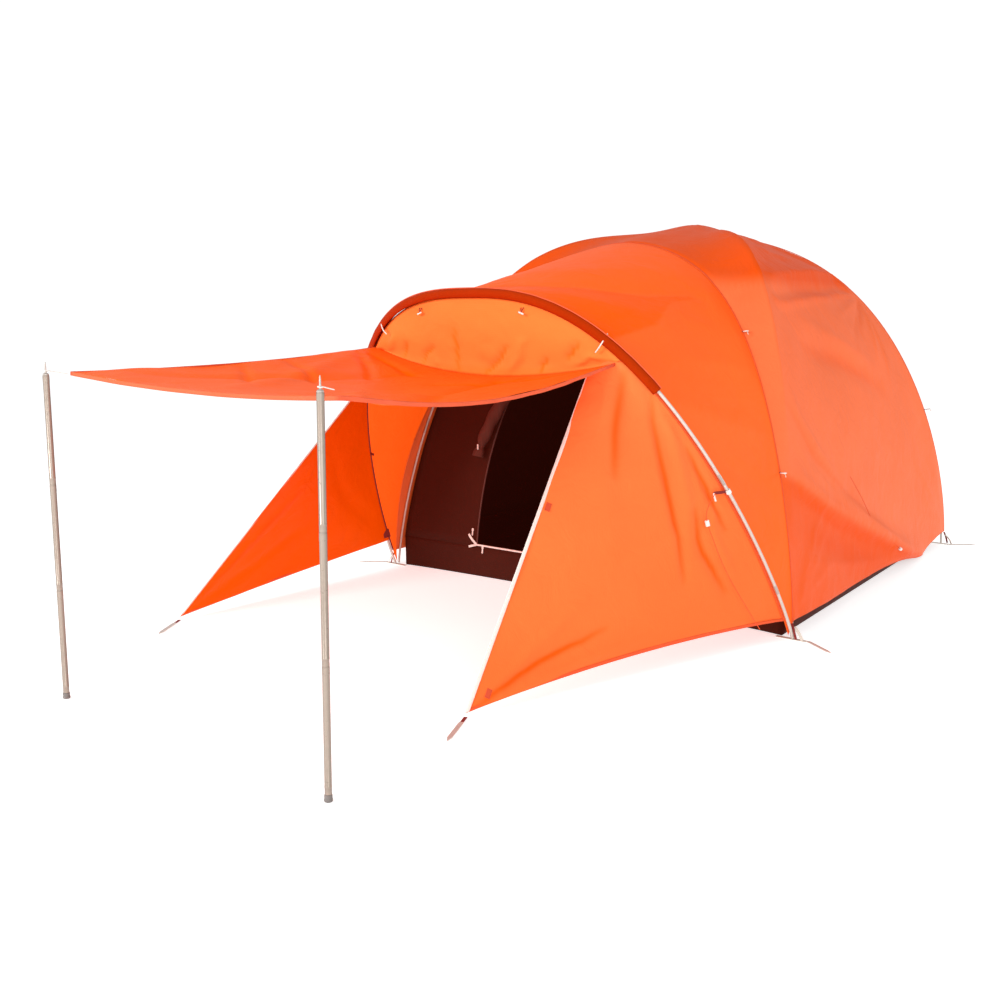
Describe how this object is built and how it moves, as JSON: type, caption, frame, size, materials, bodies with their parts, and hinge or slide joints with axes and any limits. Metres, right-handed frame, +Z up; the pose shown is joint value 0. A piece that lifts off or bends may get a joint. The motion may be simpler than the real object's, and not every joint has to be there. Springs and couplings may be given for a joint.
{
  "type": "tent",
  "caption": "Dome tent on crossed poles with a hooped porch, pegged wings, an inner tent with a tray floor, and a door panel held out flat as an awning on two upright poles.",
  "frame": {"origin": "middle of the underside of the inner tent floor, on the ground", "axes": "+X to the right of a person facing the door, -Y out of the door towards the awning, +Z up"},
  "size_m": [2.542, 4.67, 1.7975],
  "materials": {
    "pole": "satin anodised",
    "fly": "coated nylon, slight sheen",
    "porch": "coated nylon, slight sheen",
    "inner": "dark breathable nylon",
    "webbing": "woven webbing",
    "plastic": "moulded",
    "rubber": "matt",
    "cord": "braided cord"
  },
  "bodies": {
    "tent": {"main_pole_a": "pole", "main_pole_b": "pole", "porch_hoop_pole": "pole", "fly_right_side": "fly", "fly_left_side": "fly", "fly_rear_wall": "fly", "fly_front_panel": "fly", "porch_roof": "porch", "porch_right_side": "porch", "porch_left_side": "porch", "right_wing": "porch", "left_wing": "porch", "door_brow": "porch", "hoop_sleeve": "porch", "floor_tray": "inner", "inner_right_wall": "inner", "inner_left_wall": "inner", "inner_rear_wall": "inner", "inner_front_wall": "inner", "door_roll": "inner", "peak_hub": "plastic", "right_hoop_clip": "plastic", "left_hoop_clip": "plastic", "right_tension_line": "cord", "side_guy_cord": "cord", "right_front_strap": "webbing", "right_rear_strap": "webbing", "right_wing_loop": "webbing", "left_front_strap": "webbing", "left_rear_strap": "webbing", "left_wing_loop": "webbing"},
    "awning": {"awning_panel": "porch"},
    "right_prop_lower": {"right_prop_lower": "pole", "right_prop_foot": "rubber"},
    "right_prop_middle": {"right_prop_middle": "pole"},
    "right_prop_upper": {"right_prop_upper": "pole", "right_prop_spike": "pole", "right_corner_cord": "cord"},
    "left_prop_lower": {"left_prop_lower": "pole", "left_prop_foot": "rubber"},
    "left_prop_middle": {"left_prop_middle": "pole"},
    "left_prop_upper": {"left_prop_upper": "pole", "left_prop_spike": "pole", "left_corner_cord": "cord"},
    "right_wing_slider": {"right_wing_zip_slider": "plastic"},
    "left_wing_slider": {"left_wing_zip_slider": "plastic"},
    "sill_slider": {"door_sill_slider": "plastic"},
    "side_slider": {"door_side_slider": "plastic"},
    "right_toggle": {"right_brow_toggle": "plastic"},
    "left_toggle": {"left_brow_toggle": "plastic"},
    "tie_toggle": {"door_tie_toggle": "plastic"},
    "right_front_peg": {"right_front_stake": "pole"},
    "left_front_peg": {"left_front_stake": "pole"},
    "right_rear_peg": {"right_rear_stake": "pole"},
    "left_rear_peg": {"left_rear_stake": "pole"},
    "right_wing_peg": {"right_wing_stake": "pole"},
    "left_wing_peg": {"left_wing_stake": "pole"},
    "right_line_slider": {"right_line_tensioner": "plastic"},
    "side_line_slider": {"side_line_tensioner": "plastic"}
  },
  "joints": [
    {"name": "awning_hinge", "type": "hinge", "parent": "tent", "child": "awning", "pos_m": [0, -1.836, 1.088], "axis": [1, 0, 0], "range_deg": [0, 46]},
    {"name": "right_prop_lean", "type": "hinge", "parent": "tent", "child": "right_prop_lower", "pos_m": [0.622, -3.363, 0], "axis": [1, 0, 0], "range_deg": [0, 15]},
    {"name": "right_prop_middle_slide", "type": "slide", "parent": "right_prop_lower", "child": "right_prop_middle", "axis": [0, 0, 1], "range_m": [0, 0.06]},
    {"name": "right_prop_upper_slide", "type": "slide", "parent": "right_prop_middle", "child": "right_prop_upper", "axis": [0, 0, 1], "range_m": [0, 0.06]},
    {"name": "left_prop_lean", "type": "hinge", "parent": "tent", "child": "left_prop_lower", "pos_m": [-0.622, -3.363, 0], "axis": [1, 0, 0], "range_deg": [0, 15]},
    {"name": "left_prop_middle_slide", "type": "slide", "parent": "left_prop_lower", "child": "left_prop_middle", "axis": [0, 0, 1], "range_m": [0, 0.06]},
    {"name": "left_prop_upper_slide", "type": "slide", "parent": "left_prop_middle", "child": "left_prop_upper", "axis": [0, 0, 1], "range_m": [0, 0.06]},
    {"name": "right_wing_zip", "type": "slide", "parent": "tent", "child": "right_wing_slider", "axis": [0.0548, -0.6291, -0.7754], "range_m": [0, 1.13]},
    {"name": "left_wing_zip", "type": "slide", "parent": "tent", "child": "left_wing_slider", "axis": [-0.3727, -0.5298, -0.7618], "range_m": [0, 1.13]},
    {"name": "door_sill_zip", "type": "slide", "parent": "tent", "child": "sill_slider", "axis": [1, 0, 0], "range_m": [0, 1.04]},
    {"name": "door_side_zip", "type": "slide", "parent": "tent", "child": "side_slider", "axis": [0, 0.165, 0.9863], "range_m": [0, 0.25]},
    {"name": "right_toggle_swing", "type": "hinge", "parent": "tent", "child": "right_toggle", "pos_m": [0.25, -1.9739, 1.3035], "axis": [1, 0, 0], "range_deg": [-75, 10]},
    {"name": "left_toggle_swing", "type": "hinge", "parent": "tent", "child": "left_toggle", "pos_m": [-0.25, -1.9739, 1.3035], "axis": [1, 0, 0], "range_deg": [-75, 10]},
    {"name": "tie_toggle_turn", "type": "hinge", "parent": "tent", "child": "tie_toggle", "pos_m": [-0.5804, -1.1524, 0.6592], "axis": [0, 0, 1], "range_deg": [-60, 60]},
    {"name": "right_front_peg_swing", "type": "hinge", "parent": "tent", "child": "right_front_peg", "pos_m": [1.151, -1.205, 0.0018], "axis": [0, 0, 1], "range_deg": [-25, 25]},
    {"name": "left_front_peg_swing", "type": "hinge", "parent": "tent", "child": "left_front_peg", "pos_m": [-1.151, -1.205, 0.0018], "axis": [0, 0, 1], "range_deg": [-25, 25]},
    {"name": "right_rear_peg_swing", "type": "hinge", "parent": "tent", "child": "right_rear_peg", "pos_m": [1.151, 1.205, 0.0018], "axis": [0, 0, 1], "range_deg": [-25, 25]},
    {"name": "left_rear_peg_swing", "type": "hinge", "parent": "tent", "child": "left_rear_peg", "pos_m": [-1.151, 1.205, 0.0018], "axis": [0, 0, 1], "range_deg": [-25, 25]},
    {"name": "right_wing_peg_swing", "type": "hinge", "parent": "tent", "child": "right_wing_peg", "pos_m": [0.5684, -2.7319, 0.0018], "axis": [0, 0, 1], "range_deg": [-25, 25]},
    {"name": "left_wing_peg_swing", "type": "hinge", "parent": "tent", "child": "left_wing_peg", "pos_m": [-1.0691, -2.6103, 0.0018], "axis": [0, 0, 1], "range_deg": [-25, 25]},
    {"name": "right_line_slide", "type": "slide", "parent": "tent", "child": "right_line_slider", "axis": [0.2022, 0.2187, -0.9546], "range_m": [-0.006, 0.01]},
    {"name": "side_line_slide", "type": "slide", "parent": "tent", "child": "side_line_slider", "axis": [0.0932, 0.9028, -0.4198], "range_m": [-0.02, 0.02]}
  ]
}
